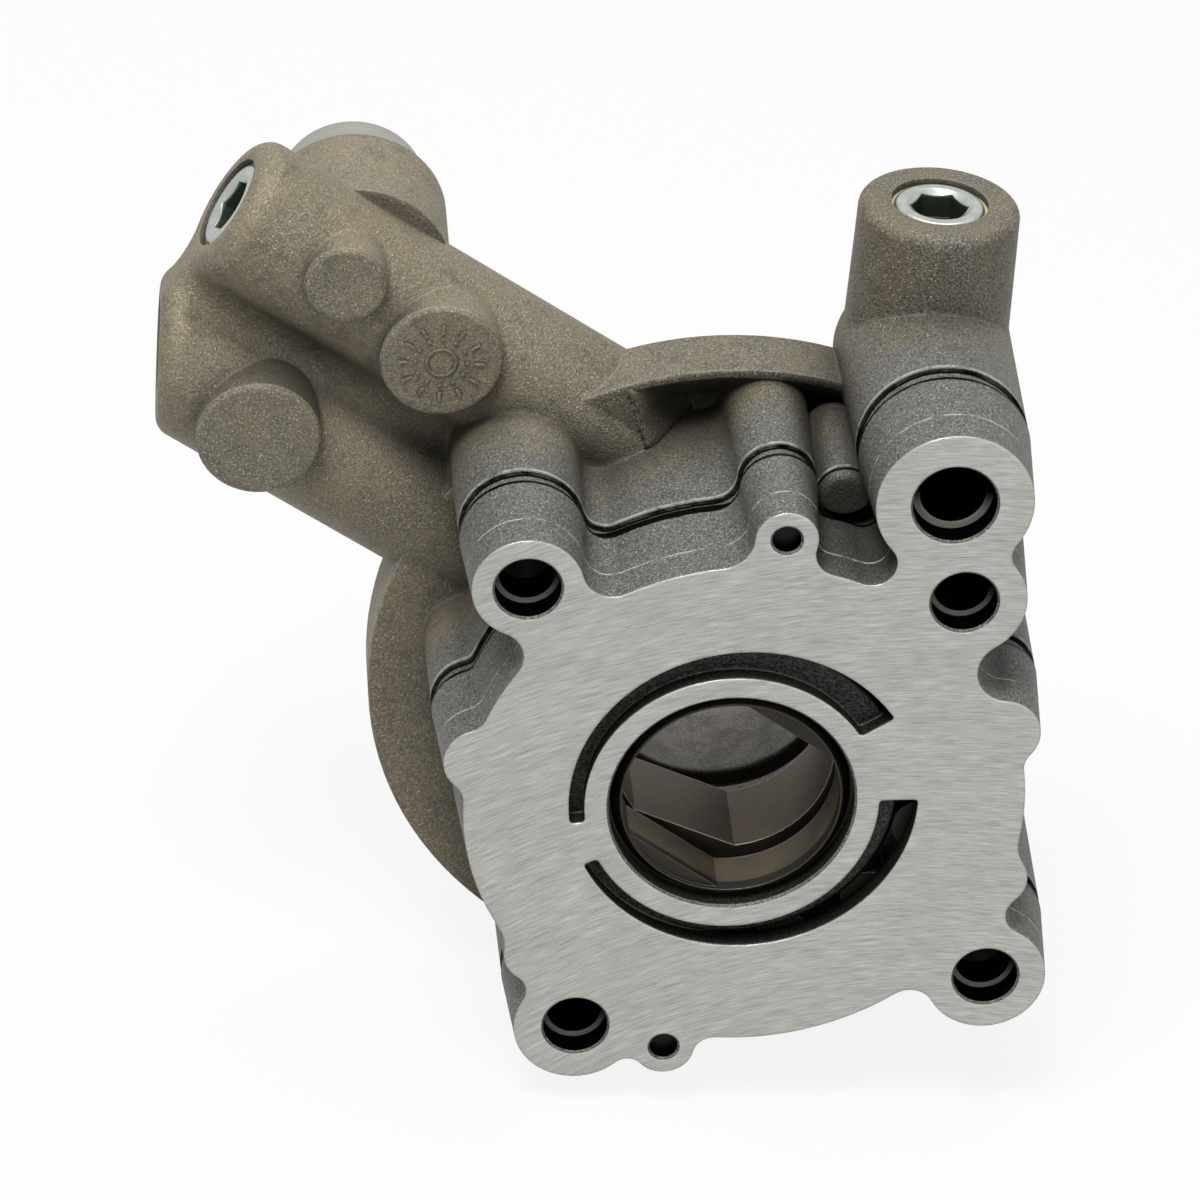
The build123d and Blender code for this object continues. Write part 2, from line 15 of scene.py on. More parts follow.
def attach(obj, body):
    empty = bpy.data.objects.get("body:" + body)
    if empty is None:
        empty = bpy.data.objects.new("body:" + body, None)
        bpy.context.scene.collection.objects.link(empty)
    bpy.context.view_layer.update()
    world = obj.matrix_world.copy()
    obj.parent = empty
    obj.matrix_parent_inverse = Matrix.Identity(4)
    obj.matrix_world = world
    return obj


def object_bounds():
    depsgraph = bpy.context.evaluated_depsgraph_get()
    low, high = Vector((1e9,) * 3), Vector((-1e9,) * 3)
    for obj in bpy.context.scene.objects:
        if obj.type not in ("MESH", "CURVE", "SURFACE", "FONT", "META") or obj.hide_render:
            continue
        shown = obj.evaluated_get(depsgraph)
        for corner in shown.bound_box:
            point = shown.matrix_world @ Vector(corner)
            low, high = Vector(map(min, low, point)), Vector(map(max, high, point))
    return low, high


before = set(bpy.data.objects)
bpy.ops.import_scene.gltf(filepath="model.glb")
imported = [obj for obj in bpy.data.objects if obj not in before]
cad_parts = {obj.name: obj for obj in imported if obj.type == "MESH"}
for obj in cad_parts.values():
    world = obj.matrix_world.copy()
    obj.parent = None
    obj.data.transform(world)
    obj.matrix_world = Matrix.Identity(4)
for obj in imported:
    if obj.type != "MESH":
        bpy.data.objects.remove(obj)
cad_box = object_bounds()

MM = 0.001

# Axes along the depth of the pump, as (x, z), with their radii and depths
SHAFT = (0.0, 0.0)
SHAFT_BORE_RADIUS = 14.5
BOLT_HOLES = ((-25.571, 28.189), (-15.879, -31.928), (32.091, -23.381), (24.219, 28.232))
BOLT_SINK_RADIUS = 3.8
BOLT_SINK_DEPTH = 3.3
BOLT_STEP_RADIUS = 3.7
THREADED_HOLES = ((3.231, 35.661), (-5.19, -34.68))
THREADED_HOLE_RADIUS = 2.0
PRESSURE_PORT = (21.84, 41.0)
PORT_SINK_RADIUS = 4.8
PORT_SINK_DEPTH = 2.7
PORT_STEP_RADIUS = 4.5
ROTOR_CENTRE = (1.332, 0.433)
POCKET_RADIUS = 24.75
POCKET_BACK = 21.9
KIDNEY_INNER = 16.8
KIDNEY_OUTER = 22.3
KIDNEY_LEDGE_DEPTH = 2.2
POST = (11.0, 36.0)
POST_RADIUS = 3.6

# Depths of what runs round the castings, or lies at their ends
FACE_SKIN = 0.02
HOLE_WALL = 0.25
TRIM_LINE_DEPTH = 4.7
COVER_BACK = 11.8
BODY_FRONT = 13.8
BOLT_HOLES_BACK = 33.0
SPIGOT_BACK = 50.8
ROTOR_HUB_FRONT = 2.6
ROTOR_FRONT = 2.95
ROTOR_HUB_RADIUS = 15.0

# Plugs: lean of the axis, its place across and back, height of the head, and the key in it
TOWER_PLUG = {"lean": 0.0, "middle": (21.84, 35.3), "top": 60.6}
ARM_PLUG = {"lean": radians(58.8), "middle": (17.7, 35.5), "top": 81.1}
KEY_RADIUS = 3.7
KEY_MOUTH = 0.3
KEY_SHADE_DEPTH = 0.9

# Texture
MILLING_CENTRE = (28.0, -105.0)
BEVEL_SAMPLES = 6
PAINTED_SHADE_SAMPLES = 6
BLACK = (5, 5, 5)
GAP_BLACK = (5, 5, 4)


class Field:
    """An output of a node tree. Sums on it add Math nodes."""

    def __init__(self, tree, socket=None):
        self.tree = tree
        self.socket = socket

    def node(self, kind, settings=None, sockets=None, output=0):
        """Add a node: its settings first, then the values or links of its sockets."""
        made = self.tree.nodes.new(kind)
        for name, value in (settings or {}).items():
            setattr(made, name, value)
        for name, value in (sockets or {}).items():
            if isinstance(value, Field):
                self.tree.links.new(value.socket, made.inputs[name])
            else:
                made.inputs[name].default_value = value
        return Field(self.tree, made.outputs[output] if made.outputs else None)

    def outputs(self):
        """Every output of this field's node."""
        return [Field(self.tree, socket) for socket in self.socket.node.outputs]

    def math(self, operation, *values):
        return self.node("ShaderNodeMath", {"operation": operation}, dict(enumerate(values)))

    def __add__(self, other):
        return self.math("ADD", self, other)

    __radd__ = __add__

    def __sub__(self, other):
        return self.math("SUBTRACT", self, other)

    def __rsub__(self, other):
        return self.math("SUBTRACT", other, self)

    def __mul__(self, other):
        return self.math("MULTIPLY", self, other)

    __rmul__ = __mul__

    def larger(self, other):
        return self.math("MAXIMUM", self, other)

    def root(self):
        return self.math("SQRT", self)

    def ease(self, low, high):
        """Smooth rise from 0 at low to 1 at high, or a fall where low is the larger."""
        return self.node("ShaderNodeMapRange", {"interpolation_type": "SMOOTHSTEP"},
                         {"Value": self, "From Min": low, "From Max": high})

    def line(self, middle, width):
        """1 on a thin line where this value passes its middle."""
        core = width * 0.3
        return self.ease(middle - width, middle - core) * self.ease(middle + width, middle + core)

    def tint(self, first, second):
        """Colour that runs from first to second as this value runs from 0 to 1."""
        ends = {0: self, 6: linear(first), 7: linear(second)}
        return self.node("ShaderNodeMix", {"data_type": "RGBA"}, ends, output=2)

    def stretched(self, shares):
        """This place with each axis multiplied by its share."""
        return self.node("ShaderNodeVectorMath", {"operation": "MULTIPLY"}, {0: self, 1: shares})

    def noise(self, size, detail=2.0, rough=0.5):
        """Noise over this place, with features of one size in millimetres."""
        return self.node("ShaderNodeTexNoise", sockets={
            "Vector": self, "Scale": 1 / size, "Detail": detail, "Roughness": rough})


def linear(colour):
    """Linear colour from the 0 to 255 values of a picture. A field stays as it is."""
    if isinstance(colour, Field):
        return colour
    levels = []
    for level in colour:
        share = level / 255
        levels.append(share / 12.92 if share <= 0.04045 else ((share + 0.055) / 1.055) ** 2.4)
    return (*levels, 1.0)


def union(masks):
    """1 where any of the masks is 1."""
    return reduce(Field.larger, masks)


def bare_tree(owner):
    """Start of the node tree of a material or world, with no node in it."""
    owner.use_nodes = True
    owner.node_tree.nodes.clear()
    return Field(owner.node_tree)


class Finish:
    """A material under way: its place on the object in millimetres and its shader."""

    def __init__(self, name, metallic=0.0, specular=0.5):
        self.material = bpy.data.materials.new(name)
        self.field = bare_tree(self.material)
        self.shader = self.field.node("ShaderNodeBsdfPrincipled", sockets={
            "Metallic": metallic, "Specular IOR Level": specular})
        self.field.node("ShaderNodeOutputMaterial", sockets={"Surface": self.shader})
        metres = self.field.node("ShaderNodeTexCoord", output="Object")
        self.place = self.field.node("ShaderNodeVectorMath", {"operation": "SCALE"},
                                     {0: metres, "Scale": 1 / MM})
        split = self.field.node("ShaderNodeSeparateXYZ", sockets={0: self.place})
        self.x, self.y, self.z = split.outputs()

    def put(self, socket, value):
        """Link a field to a socket of the shader."""
        inputs = self.shader.socket.node.inputs
        self.material.node_tree.links.new(value.socket, inputs[socket])

    def raise_surface(self, height, depth, normal=None):
        """Bump from a height of 0 to 1 that stands for a depth in millimetres."""
        sockets = {"Height": height, "Distance": depth * MM, "Strength": 1.0}
        if normal is not None:
            sockets["Normal"] = normal
        self.put("Normal", self.field.node("ShaderNodeBump", sockets=sockets))

    def banded(self, first, second=0.0):
        """Place that changes only with these values, for noise in bands."""
        return self.field.node("ShaderNodeCombineXYZ", sockets={0: first, 1: second})

    def from_axis(self, x, z):
        """Distance in millimetres from a line along the depth of the pump."""
        return ((self.x - x) * (self.x - x) + (self.z - z) * (self.z - z)).root()

    def inside(self, places, radius):
        """1 within a radius of any of the axes, 0 outside."""
        return union([self.from_axis(x, z).ease(radius + 0.15, radius + 0.05) for x, z in places])

    def painted_light_lower_half(self, places, radius):
        """1 in the lower half within a radius of any of the axes: where a step gets painted light.
        """
        return union([self.inside([(x, z)], radius) * self.z.ease(z + 0.6, z - 2.4)
                      for x, z in places])

    def soft_normal(self, radius):
        """Normal that rounds edges and corners over a radius in millimetres."""
        return self.field.node("ShaderNodeBevel", {"samples": BEVEL_SAMPLES},
                               {"Radius": radius * MM})

    def edge_wear_and_highlight(self, radius, low, high):
        """1 on edges and corners, where the rounded normal leaves the flat one: real edge wear, and
        painted highlights on the kidney ledge and the rotors.
        """
        flat = self.field.node("ShaderNodeNewGeometry", output="Normal")
        alike = self.field.node("ShaderNodeVectorMath", {"operation": "DOT_PRODUCT"},
                                {0: self.soft_normal(radius), 1: flat}, output="Value")
        return (1.0 - alike).ease(low, high)

    def painted_shade(self, reach):
        """0 in the open, 1 deep in a corner or hole: a mask for painted shade."""
        open_sky = self.field.node("ShaderNodeAmbientOcclusion", {"samples": PAINTED_SHADE_SAMPLES},
                                   {"Distance": reach * MM}, output="AO")
        return 1.0 - open_sky


def milled_lay(finish):
    """Arcs left by a large milling cutter, as a value from 0 to 1."""
    arcs = finish.banded(finish.from_axis(*MILLING_CENTRE), finish.x * 0.05)
    fine = arcs.noise(0.16, 2.0, 0.6).ease(0.25, 0.75)
    broad = arcs.noise(0.8, 2.0, 0.6).ease(0.25, 0.75)
    return fine * 0.75 + broad * 0.25


def mounting_face(finish, stain, mottle):
    """Colour of the milled face: fine arcs, crossing scratches, pores and a few dark nicks."""
    place = finish.place
    face = milled_lay(finish).tint((146, 146, 140), (200, 200, 194))
    face = (mottle.ease(0.35, 0.70) * 0.30).tint(face, (158, 158, 151))
    pore = place.noise(0.22, 1.0, 0.6).ease(0.58, 0.76)
    face = (pore * 0.30).tint(face, (120, 120, 112))
    scratch = place.stretched((1.0, 1.0, 0.06)).noise(0.5, 3.0, 0.7).ease(0.68, 0.74)
    face = (scratch * 0.35).tint(face, (206, 206, 200))
    nick = place.noise(1.9, 5.0, 0.75).ease(0.70, 0.74)
    face = (nick * 0.6).tint(face, (92, 91, 84))
    return (finish.edge_wear_and_highlight(0.3, 0.05, 0.3) * 0.12).tint(face, (206, 205, 199))


class Casting(Finish):
    """Die-cast aluminium: what the cover and the body have in common."""

    def __init__(self, name):
        super().__init__(name, specular=0.3)
        self.grain = self.place.noise(0.3, 2.0, 0.65).ease(0.28, 0.72)
        self.mottle = self.place.noise(7.0, 3.0, 0.6)
        self.stain = self.place.noise(2.2, 3.0, 0.6)
        self.skin = self.cast_skin()
        self.holes = union([self.inside(BOLT_HOLES, BOLT_SINK_RADIUS),
                            self.inside(THREADED_HOLES, THREADED_HOLE_RADIUS),
                            self.inside([PRESSURE_PORT], PORT_SINK_RADIUS)])

    def cast_skin(self):
        """Colour of the blasted casting: neutral in front, olive to brown further back, lighter on
        the arm with painted light, with painted glints and painted shade in hollows.
        """
        place, grain, mottle, stain = self.place, self.grain, self.mottle, self.stain
        back = (self.y + mottle * 9.0).ease(20.0, 34.0)
        cool = grain.tint((54, 54, 52), (110, 110, 106))
        warm = grain.tint((56, 52, 43), (118, 112, 97))
        skin = back.tint(cool, warm)
        skin = (mottle.ease(0.44, 0.66) * back * 0.45).tint(skin, (104, 94, 72))
        # Painted light: the arm at the left is lighter, as if more light fell on it.
        skin = (self.x.ease(0.0, -30.0) * back * 0.30).tint(skin, (152, 140, 114))
        skin = (stain.ease(0.50, 0.70) * 0.35).tint(skin, (66, 63, 57))
        glint = place.noise(0.21, 1.0, 0.5).ease(0.60, 0.72)
        skin = (glint * 0.55).tint(skin, (196, 192, 178))
        pit = place.noise(0.42, 2.0, 0.6).ease(0.62, 0.74)
        skin = (pit * 0.65).tint(skin, (30, 28, 24))
        wear = self.edge_wear_and_highlight(0.5, 0.03, 0.2) * stain.ease(0.25, 0.50)
        skin = (wear * 0.55).tint(skin, (184, 180, 168))
        # Painted shade: the skin darkens in corners, creases and hollows.
        return (self.painted_shade(13.0).ease(0.13, 0.62) * 0.85).tint(skin, (42, 40, 34))

    def close(self, base, machined, black_shade_and_joint, rough, height, edge):
        """Link the colour and gloss. Machined skin is bright metal; what is painted black as
        painted shade, and the dark joint, has no white gloss.
        """
        self.put("Base Color", base)
        self.put("Roughness", rough + self.mottle * 0.08 + self.holes * 0.4)
        self.put("Metallic", 0.20 + machined * 0.55 + black_shade_and_joint * 0.8)
        self.raise_surface(height, 0.09, self.soft_normal(edge))
        return self.material

    def cast_height(self):
        """Height of the grain of the cast skin."""
        return self.grain * 0.7 + self.stain * 0.3


def cover_finish(name):
    """Front casting: milled face, holes painted black as painted shade with painted light on the
    lower half of their step, kidney ports in painted shade with a painted highlight on the ledge
    edge, open joint.
    """
    cast = Casting(name)
    face = cast.y.ease(FACE_SKIN * 3, FACE_SKIN)
    wall = cast.y.ease(HOLE_WALL, HOLE_WALL + 0.15)
    cast.holes = cast.holes * wall
    # Painted light: the lower half of the step in each bolt hole and the port is lit bright.
    bolt_step_light = cast.painted_light_lower_half(BOLT_HOLES, BOLT_STEP_RADIUS) * cast.y.line(BOLT_SINK_DEPTH, 0.15)
    port_step_light = cast.painted_light_lower_half([PRESSURE_PORT], PORT_STEP_RADIUS)
    step = bolt_step_light.larger(port_step_light * cast.y.line(PORT_SINK_DEPTH, 0.15))

    trim = (cast.y + cast.stain * 0.7).line(TRIM_LINE_DEPTH, 0.16) * cast.stain.ease(0.38, 0.55)
    skin = (trim * 0.7).tint(cast.skin, (186, 184, 176))
    seam = (cast.y + cast.stain * 0.4).ease(COVER_BACK - 0.35, COVER_BACK - 0.15)
    skin = seam.tint(skin, GAP_BLACK)

    from_shaft = cast.from_axis(*SHAFT)
    # Painted shade in the kidney ports: the ledge dark grey, and near black deeper down.
    well = from_shaft.ease(KIDNEY_OUTER, KIDNEY_OUTER - 0.1) * wall
    deep_shade = cast.y.ease(KIDNEY_LEDGE_DEPTH + 0.1, KIDNEY_LEDGE_DEPTH + 0.3)
    deep_shade = deep_shade * from_shaft.ease(KIDNEY_INNER - 1.0, KIDNEY_INNER - 0.8)
    ledge = deep_shade.tint(cast.grain.tint((34, 35, 33), (74, 75, 71)), (9, 9, 8))
    # Painted highlight on the edge of the kidney ledge.
    ledge_edge_highlight = cast.edge_wear_and_highlight(0.3, 0.04, 0.2) * 0.5
    skin = well.tint(skin, ledge_edge_highlight.tint(ledge, (150, 150, 144)))

    base = face.tint(skin, mounting_face(cast, cast.stain, cast.mottle))
    # Holes painted black: painted shade down the bores.
    base = cast.holes.tint(base, BLACK)
    # Painted light on the lower half of the steps.
    base = (step * 0.85).tint(base, (158, 157, 150))
    height = (1.0 - face) * cast.cast_height() + face * milled_lay(cast) * 0.08
    black_shade_and_joint = union([cast.holes, seam, well])
    return cast.close(base, face, black_shade_and_joint, 0.50 - face * 0.12, height, 0.55)


def body_finish(name):
    """Rear casting: joint with its gap and burr, smoke-stained bores that darken with painted shade
    deep inside, holes painted black as painted shade, turned spigot.
    """
    cast = Casting(name)
    neck = cast.y.ease(SPIGOT_BACK - 0.02, SPIGOT_BACK + 0.02)
    cast.holes = cast.holes * cast.y.ease(BOLT_HOLES_BACK + 1.0, BOLT_HOLES_BACK)
    pocket = cast.inside([ROTOR_CENTRE], POCKET_RADIUS)
    pocket = pocket * cast.y.ease(POCKET_BACK, POCKET_BACK - 0.1)
    well = pocket.larger(cast.inside([SHAFT], SHAFT_BORE_RADIUS))

    ragged = cast.y + cast.stain * 0.4
    agape = cast.x.ease(-19.0, -15.0) * cast.x.ease(-1.0, -4.0) * cast.z.ease(10.0, 14.0)
    front = (ragged - agape * 0.9).ease(COVER_BACK + 0.85, COVER_BACK + 0.65)
    front = front * (1.0 - cast.inside([POST], POST_RADIUS))
    seam = ragged.line(BODY_FRONT, 0.42).larger(front)
    burr = ragged.line(BODY_FRONT + 0.75, 0.3) * cast.stain.ease(0.35, 0.55)
    skin = (burr * 0.6).tint(cast.skin, (178, 177, 170))
    skin = seam.tint(skin, GAP_BLACK)

    smoke = (cast.mottle * 0.5 + cast.stain * 0.3 + cast.grain * 0.2).ease(0.38, 0.60)
    smoke_and_shade = smoke.tint((84, 80, 72), (138, 134, 127))
    # Painted shade: the bores darken to near black deep inside.
    smoke_and_shade = (cast.painted_shade(10.0).ease(0.35, 0.85) * 0.9).tint(smoke_and_shade, (14, 13, 11))
    skin = well.tint(skin, smoke_and_shade)

    turned = cast.banded(cast.y).noise(0.2, 1.0)
    base = neck.tint(skin, turned.ease(0.3, 0.7).tint((132, 130, 124), (170, 168, 162)))
    # Holes painted black: painted shade down the bores.
    base = cast.holes.tint(base, BLACK)
    smooth = neck.larger(well)
    height = (1.0 - smooth) * cast.cast_height() + neck * turned * 0.05
    return cast.close(base, neck, cast.holes.larger(seam), 0.50 - smooth * 0.12, height, 1.1)


def sintered_finish(name):
    """Sintered rotor steel with a thin brown oil film, painted shade in hollows and on the front
    faces, and painted highlights on the edges.
    """
    finish = Finish(name, metallic=0.7)
    grain = finish.place.noise(0.3, 3.0, 0.6)
    film = finish.place.noise(4.5, 3.0, 0.6)
    base = grain.tint((60, 57, 49), (108, 101, 87))
    base = film.ease(0.36, 0.68).tint(base, (106, 93, 72))
    # Painted shade: the rotor steel darkens in its hollows and gaps.
    base = (finish.painted_shade(11.0).ease(0.34, 0.80) * 0.92).tint(base, (10, 9, 8))
    # Painted highlight on the rotor's edges.
    base = (finish.edge_wear_and_highlight(0.2, 0.03, 0.16) * 0.85).tint(base, (204, 200, 190))
    # Painted shade: the front faces of the hub and teeth are darkened, as they lie behind the
    # cover.
    hub = finish.y.ease(ROTOR_HUB_FRONT + 0.2, ROTOR_HUB_FRONT)
    teeth = finish.y.ease(ROTOR_FRONT + 0.1, ROTOR_FRONT)
    teeth = teeth * finish.from_axis(*SHAFT).ease(ROTOR_HUB_RADIUS, ROTOR_HUB_RADIUS + 0.4)
    base = (hub.larger(teeth) * 0.85).tint(base, (22, 21, 18))
    finish.put("Base Color", base)
    finish.put("Roughness", 0.36 + film * 0.16)
    finish.raise_surface(grain, 0.012, finish.soft_normal(0.25))
    return finish.material


def ground_finish(name):
    """Ground flat steel of the separator plates."""
    finish = Finish(name, metallic=0.9)
    lay = finish.place.stretched((0.05, 1.0, 1.0)).noise(0.15, 2.0)
    finish.put("Base Color", lay.tint((108, 107, 104), (150, 149, 146)))
    finish.put("Roughness", 0.26 + lay * 0.14)
    finish.raise_surface(lay, 0.004)
    return finish.material


def zinc_finish(name, plug):
    """Bright zinc plating of a socket plug, with painted shade down in the socket."""
    finish = Finish(name)
    cloud = finish.place.noise(1.6, 3.0, 0.6)
    grain = finish.place.noise(0.12, 2.0, 0.6)
    base = cloud.tint((150, 155, 150), (190, 194, 188))
    base = (grain.ease(0.50, 0.70) * 0.4).tint(base, (120, 126, 122))
    lean_cos, lean_sin = cos(plug["lean"]), sin(plug["lean"])
    along = finish.z * lean_cos - finish.x * lean_sin
    across = finish.x * lean_cos + finish.z * lean_sin - plug["middle"][0]
    back = finish.y - plug["middle"][1]
    # Painted shade down in the socket of the plug.
    key = (across * across + back * back).root().ease(KEY_RADIUS + 0.3, KEY_RADIUS)
    socket = key * along.ease(plug["top"] - KEY_MOUTH, plug["top"] - KEY_SHADE_DEPTH)
    base = (socket * 0.96).tint(base, grain.tint((40, 48, 34), (76, 86, 68)))
    finish.put("Base Color", base)
    finish.put("Metallic", 0.85 + socket * 0.15)
    finish.put("Roughness", 0.22 + cloud * 0.18 + socket * 0.2)
    finish.raise_surface(grain, 0.006, finish.soft_normal(0.2))
    return finish.material


def seal_finish(name):
    """Olive-yellow seal ring round a plug."""
    finish = Finish(name, metallic=0.1)
    cloud = finish.place.noise(0.8, 2.0)
    finish.put("Base Color", cloud.tint((150, 144, 100), (190, 184, 138)))
    finish.put("Roughness", 0.42 + cloud * 0.2)
    finish.raise_surface(cloud, 0.01)
    return finish.material


def rubber_finish(name):
    """Matt black rubber."""
    finish = Finish(name)
    bloom = finish.place.noise(0.9, 3.0)
    finish.put("Base Color", bloom.tint((24, 24, 24), (44, 44, 43)))
    finish.put("Roughness", 0.62 + bloom * 0.2)
    finish.raise_surface(bloom, 0.01)
    return finish.material


def turned_finish(name, low, high):
    """Steel with turned rings round the depth of the pump."""
    finish = Finish(name, metallic=0.85)
    rings = finish.banded(finish.y).noise(0.25, 1.0)
    cloud = finish.place.noise(1.2, 2.0)
    finish.put("Base Color", (rings * 0.5 + cloud * 0.5).tint(low, high))
    finish.put("Roughness", 0.32 + cloud * 0.16)
    finish.raise_surface(rings, 0.006)
    return finish.material


def dress_nodes(materials):
    """Give every solid its finish."""
    for name, material in materials.items():
        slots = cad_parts[name].data.materials
        slots.clear()
        slots.append(material)


body_cast = body_finish("body_cast_aluminium")
rotor_steel = sintered_finish("sintered_steel")
plate_steel = ground_finish("ground_steel")
olive_seal = seal_finish("plug_seal")
# Screw steel made near black: painted shade on the screw tips down their holes.
screw_steel = turned_finish("screw_steel", (12, 12, 12), (36, 36, 37))
dowel_steel = turned_finish("dowel_steel", (120, 120, 118), (160, 160, 157))
dress_nodes({
    "pump_cover": cover_finish("cover_cast_aluminium"),
    "pump_body": body_cast,
    "feed_inner_rotor": rotor_steel,
    "feed_outer_rotor": rotor_steel,
    "scavenge_inner_rotor": rotor_steel,
    "scavenge_outer_rotor": rotor_steel,
    "feed_separator_plate": plate_steel,
    "scavenge_separator_plate": plate_steel,
    "wave_spring": turned_finish("spring_steel", (92, 90, 88), (132, 130, 126)),
    "tower_plug": zinc_finish("tower_plug_zinc", TOWER_PLUG),
    "arm_plug": zinc_finish("arm_plug_zinc", ARM_PLUG),
    "tower_plug_seal": olive_seal,
    "arm_plug_seal": olive_seal,
    "port_seal_ring": rubber_finish("black_rubber"),
    "upper_cover_screw": screw_steel,
    "lower_cover_screw": screw_steel,
    "upper_hollow_dowel": dowel_steel,
    "lower_hollow_dowel": dowel_steel,
})


# The dial on the largest pad of the arm, with its sizes
DIAL_TICKS = 12
DIAL_SIZES = {"Tick Radius": 4.4, "Tick Length": 1.2, "Dot Radius": 3.0, "Dot Size": 0.32,
              "Hub Radius": 1.7, "Relief": 0.26}
DIAL_CENTRE = (-35.3, 25.0, 43.1)


def dial_tree(material):
    """Geometry Nodes tree for a casting dial: ticks in a ring, a ring of dots, a hub ring."""
    tree = bpy.data.node_groups.new("casting_dial", "GeometryNodeTree")
    tree.interface.new_socket("Geometry", in_out="OUTPUT", socket_type="NodeSocketGeometry")
    kinds = {"Ticks": "NodeSocketInt", "Centre": "NodeSocketVector"}
    kinds.update(dict.fromkeys(DIAL_SIZES, "NodeSocketFloat"))
    given = {}
    for name, kind in kinds.items():
        made = tree.interface.new_socket(name, in_out="INPUT", socket_type=kind)
        given[name] = made.identifier
    field = Field(tree)
    value = dict(zip(given, field.node("NodeGroupInput").outputs()))

    def ring(radius, piece, turn=None):
        """Copies of a piece on a circle, turned to point outwards where a turn is given."""
        points = field.node("GeometryNodeMeshCircle", sockets={
            "Vertices": value["Ticks"], "Radius": radius})
        sockets = {"Points": points, "Instance": piece}
        if turn is not None:
            sockets["Rotation"] = turn
        return field.node("GeometryNodeInstanceOnPoints", sockets=sockets)

    def circle(radius, corners):
        return field.node("GeometryNodeCurvePrimitiveCircle", sockets={
            "Resolution": corners, "Radius": radius})

    outwards = field.node("FunctionNodeAlignRotationToVector", {"axis": "X"},
                          {"Vector": field.node("GeometryNodeInputPosition")})
    bar = field.node("ShaderNodeCombineXYZ", sockets={
        0: value["Tick Length"], 1: value["Dot Size"], 2: value["Relief"] * 2.0})
    tick = field.node("GeometryNodeMeshCube", sockets={"Size": bar})
    dot = field.node("GeometryNodeMeshUVSphere", sockets={
        "Segments": 12, "Rings": 6, "Radius": value["Dot Size"]})
    hub = field.node("GeometryNodeCurveToMesh", sockets={
        "Curve": circle(value["Hub Radius"], 40), "Profile Curve": circle(value["Relief"], 8)})
    whole = field.node("GeometryNodeJoinGeometry")
    for piece in (ring(value["Tick Radius"], tick, outwards), ring(value["Dot Radius"], dot), hub):
        tree.links.new(piece.socket, whole.socket.node.inputs[0])
    placed = field.node("GeometryNodeTransform", sockets={
        "Geometry": whole, "Translation": value["Centre"], "Rotation": (pi / 2, 0.0, 0.0)})
    solid = field.node("GeometryNodeRealizeInstances", sockets={"Geometry": placed})
    dressed = field.node("GeometryNodeSetMaterial", sockets={
        "Geometry": solid, "Material": material})
    field.node("NodeGroupOutput", sockets={0: dressed})
    return tree, given


def new_object(name, data):
    """Object in the scene that holds a mesh, a camera or a lamp."""
    made = bpy.data.objects.new(name, data)
    bpy.context.collection.objects.link(made)
    return made


def make_dial(material):
    """Raised ring of ticks and dots on the largest pad of the arm."""
    tree, given = dial_tree(material)
    dial = new_object("casting_dial", bpy.data.meshes.new("casting_dial"))
    growth = dial.modifiers.new("dial", "NODES")
    growth.node_group = tree
    growth[given["Ticks"]] = DIAL_TICKS
    growth[given["Centre"]] = tuple(part * MM for part in DIAL_CENTRE)
    for name, size in DIAL_SIZES.items():
        growth[given[name]] = size * MM
    shaped = dial.evaluated_get(bpy.context.evaluated_depsgraph_get())
    dial.data = bpy.data.meshes.new_from_object(shaped)
    dial.modifiers.clear()
    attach(dial, "housing")


make_dial(body_cast)


# The ramp at the root of the arm: a grid over the left end of the dish. The dish ends at a step,
# from its foot to its top. The ramp starts at the arm's level there and sinks into the floor.
RAMP_X = (-20.0, 0.0)
RAMP_Z = (26.0, 44.0)
RAMP_PITCH = 0.4
STEP_FOOT = (-11.3, 31.0)
STEP_TOP = (-14.4, 39.8)
FOOT_LENGTH = 9.0
TOP_LENGTH = 6.0
RAMP_START = 0.6
ARM_LEVEL = 27.7
ARM_SIDE = 0.9
RAMP_LIP = 0.02
RAMP_SINK = 0.3
RAMP_UNDER = 0.6
FLOOR_REACH = range(-2, 3)
DISH_EDGE_DEPTH = 27.85
DISH_RADIUS = 41.4
COLUMNS = round((RAMP_X[1] - RAMP_X[0]) / RAMP_PITCH) + 1
ROWS = round((RAMP_Z[1] - RAMP_Z[0]) / RAMP_PITCH) + 1
GRID = [(i, j) for i in range(COLUMNS) for j in range(ROWS)]
RAY_START = -0.01


def grid_place(spot):
    """Place, across and up, of a spot of the ramp's grid."""
    return RAMP_X[0] + spot[0] * RAMP_PITCH, RAMP_Z[0] + spot[1] * RAMP_PITCH


def spots_round(spot, reach):
    """A spot of the grid and those round it."""
    return [(spot[0] + a, spot[1] + b) for a in reach for b in reach]


def eased(value, low, high):
    """Smooth rise from 0 at low to 1 at high."""
    share = min(max((value - low) / (high - low), 0.0), 1.0)
    return share * share * (3.0 - 2.0 * share)


def front_depths(node):
    """Depth of a node's front skin at each spot of the grid that meets it."""
    mesh = node.data
    skin = BVHTree.FromPolygons([vert.co for vert in mesh.vertices],
                                [face.vertices[:] for face in mesh.polygons])
    depths = {}
    for spot in GRID:
        x, z = grid_place(spot)
        hit = skin.ray_cast(Vector((x * MM, RAY_START, z * MM)), Vector((0.0, 1.0, 0.0)))[0]
        if hit is not None:
            depths[spot] = hit.y / MM
    return depths


